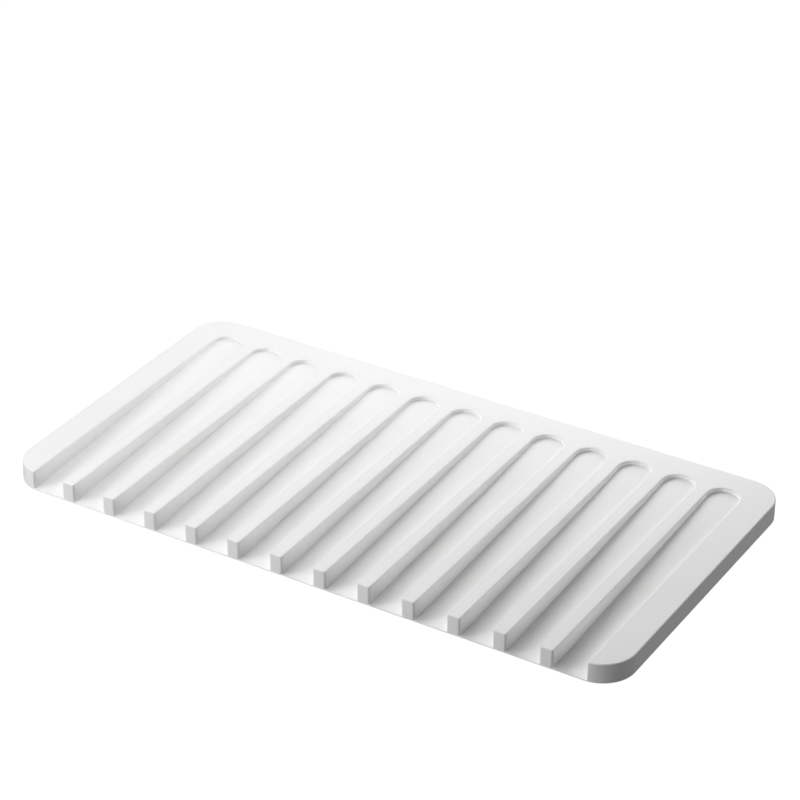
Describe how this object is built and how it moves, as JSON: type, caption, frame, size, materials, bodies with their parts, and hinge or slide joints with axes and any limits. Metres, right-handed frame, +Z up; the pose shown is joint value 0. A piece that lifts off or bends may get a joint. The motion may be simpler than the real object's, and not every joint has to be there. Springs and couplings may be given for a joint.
{
  "type": "draining tray",
  "caption": "Flat one-piece silicone draining tray with sloped channels between ribs, open at the front so that water runs off.",
  "frame": {"origin": "centre of the flat underside, midway along the width and the depth", "axes": "+X to the right along the long side, +Y from the open pouring edge towards the closed back ends of the channels, +Z up"},
  "size_m": [0.33, 0.1754, 0.0102],
  "materials": {
    "silicone": "satin moulded silicone rubber, opaque white"
  },
  "bodies": {
    "root": {"drain_tray": "silicone"}
  },
  "joints": []
}
